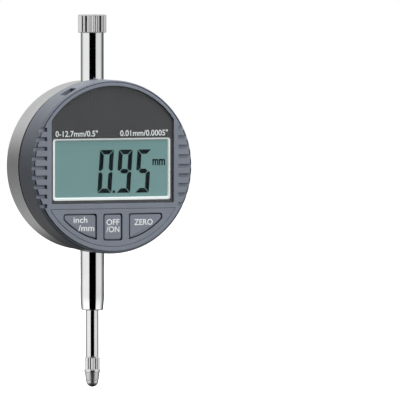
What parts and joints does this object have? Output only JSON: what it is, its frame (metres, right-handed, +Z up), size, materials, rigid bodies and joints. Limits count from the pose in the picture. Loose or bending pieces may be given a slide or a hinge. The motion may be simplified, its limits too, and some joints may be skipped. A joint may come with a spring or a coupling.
{
  "type": "digital dial indicator",
  "caption": "Digital dial indicator with a sliding spring-loaded spindle, a turning round display head and a lug back.",
  "frame": {"origin": "on the spindle's axis, half way down the straight part of the stem, where a stand clamps it", "axes": "+Z up along the spindle, away from the contact point; -Y out of the display; +X to the right of the display"},
  "size_m": [0.058, 0.0397, 0.1247],
  "materials": {
    "case_metal": "satin turned",
    "plate_metal": "satin",
    "chrome": "polished",
    "brass": "turned",
    "steel": "bright",
    "shell_plastic": "fine matt moulding",
    "key_plastic": "fine matt moulding",
    "dark_plastic": "matt moulding",
    "white_plastic": "satin",
    "mask_print": "printed film",
    "lens_clear": "clear",
    "lcd_glass": "grey-green reflective",
    "rubber": "matt",
    "circuit_board": "solder mask",
    "epoxy": "cast",
    "ribbon_film": "film"
  },
  "bodies": {
    "housing": {"case_ring": "case_metal", "stem": "chrome", "lower_bushing": "brass", "top_sleeve": "chrome", "upper_bushing": "brass", "top_cap": "chrome", "guide_rail": "dark_plastic", "return_spring": "steel", "stop_washer": "rubber", "sensor_board": "circuit_board", "sensor_screw_1": "steel", "sensor_screw_2": "steel", "back_plate": "plate_metal", "lug": "plate_metal", "plate_screw_1": "steel", "plate_screw_2": "steel", "plate_screw_3": "steel", "plate_screw_4": "steel", "retaining_ring": "steel", "friction_ring": "rubber"},
    "spindle": {"spindle_rod": "chrome", "contact_holder": "chrome", "contact_tip": "chrome", "carrier": "dark_plastic", "carrier_screw": "steel", "scale_strip": "circuit_board", "guide_pin": "steel"},
    "head": {"head_base": "dark_plastic", "base_screw_1": "steel", "base_screw_2": "steel", "base_screw_3": "steel", "base_screw_4": "steel", "front_shell": "shell_plastic", "lens": "lens_clear", "lens_mask": "mask_print", "display_holder": "white_plastic", "lcd_panel": "lcd_glass", "connector_strip_upper": "rubber", "connector_strip_lower": "rubber", "main_board": "circuit_board", "board_screw_1": "steel", "board_screw_2": "steel", "board_screw_3": "steel", "board_screw_4": "steel", "controller_chip": "epoxy", "dome_inch_mm": "steel", "dome_on_off": "steel", "dome_zero": "steel", "battery_contact_plus": "brass", "battery_contact_minus": "brass", "port_connector": "dark_plastic", "ribbon_cable": "ribbon_film"},
    "key_inch_mm": {"key_inch_mm": "key_plastic"},
    "key_on_off": {"key_on_off": "key_plastic"},
    "key_zero": {"key_zero": "key_plastic"},
    "battery_tray": {"battery_tray": "shell_plastic", "battery_cell": "steel"}
  },
  "joints": [
    {"name": "spindle_slide", "type": "slide", "parent": "housing", "child": "spindle", "axis": [0, 0, 1], "range_m": [0, 0.0127], "stiffness_N_per_m": 60, "springref_m": -0.015, "deforming": ["return_spring"]},
    {"name": "head_turn", "type": "hinge", "parent": "housing", "child": "head", "pos_m": [0, -0.0065, 0.03655], "axis": [0, 1, 0], "range_deg": [-90, 180], "deforming": ["ribbon_cable"]},
    {"name": "key_inch_mm_press", "type": "slide", "parent": "head", "child": "key_inch_mm", "axis": [0, 1, 0], "range_m": [0, 0.00035], "stiffness_N_per_m": 3000, "springref_m": -0.0003},
    {"name": "key_on_off_press", "type": "slide", "parent": "head", "child": "key_on_off", "axis": [0, 1, 0], "range_m": [0, 0.00035], "stiffness_N_per_m": 3000, "springref_m": -0.0003},
    {"name": "key_zero_press", "type": "slide", "parent": "head", "child": "key_zero", "axis": [0, 1, 0], "range_m": [0, 0.00035], "stiffness_N_per_m": 3000, "springref_m": -0.0003},
    {"name": "battery_tray_slide", "type": "slide", "parent": "head", "child": "battery_tray", "axis": [0.4695, 0, 0.8829], "range_m": [0, 0.016]}
  ]
}
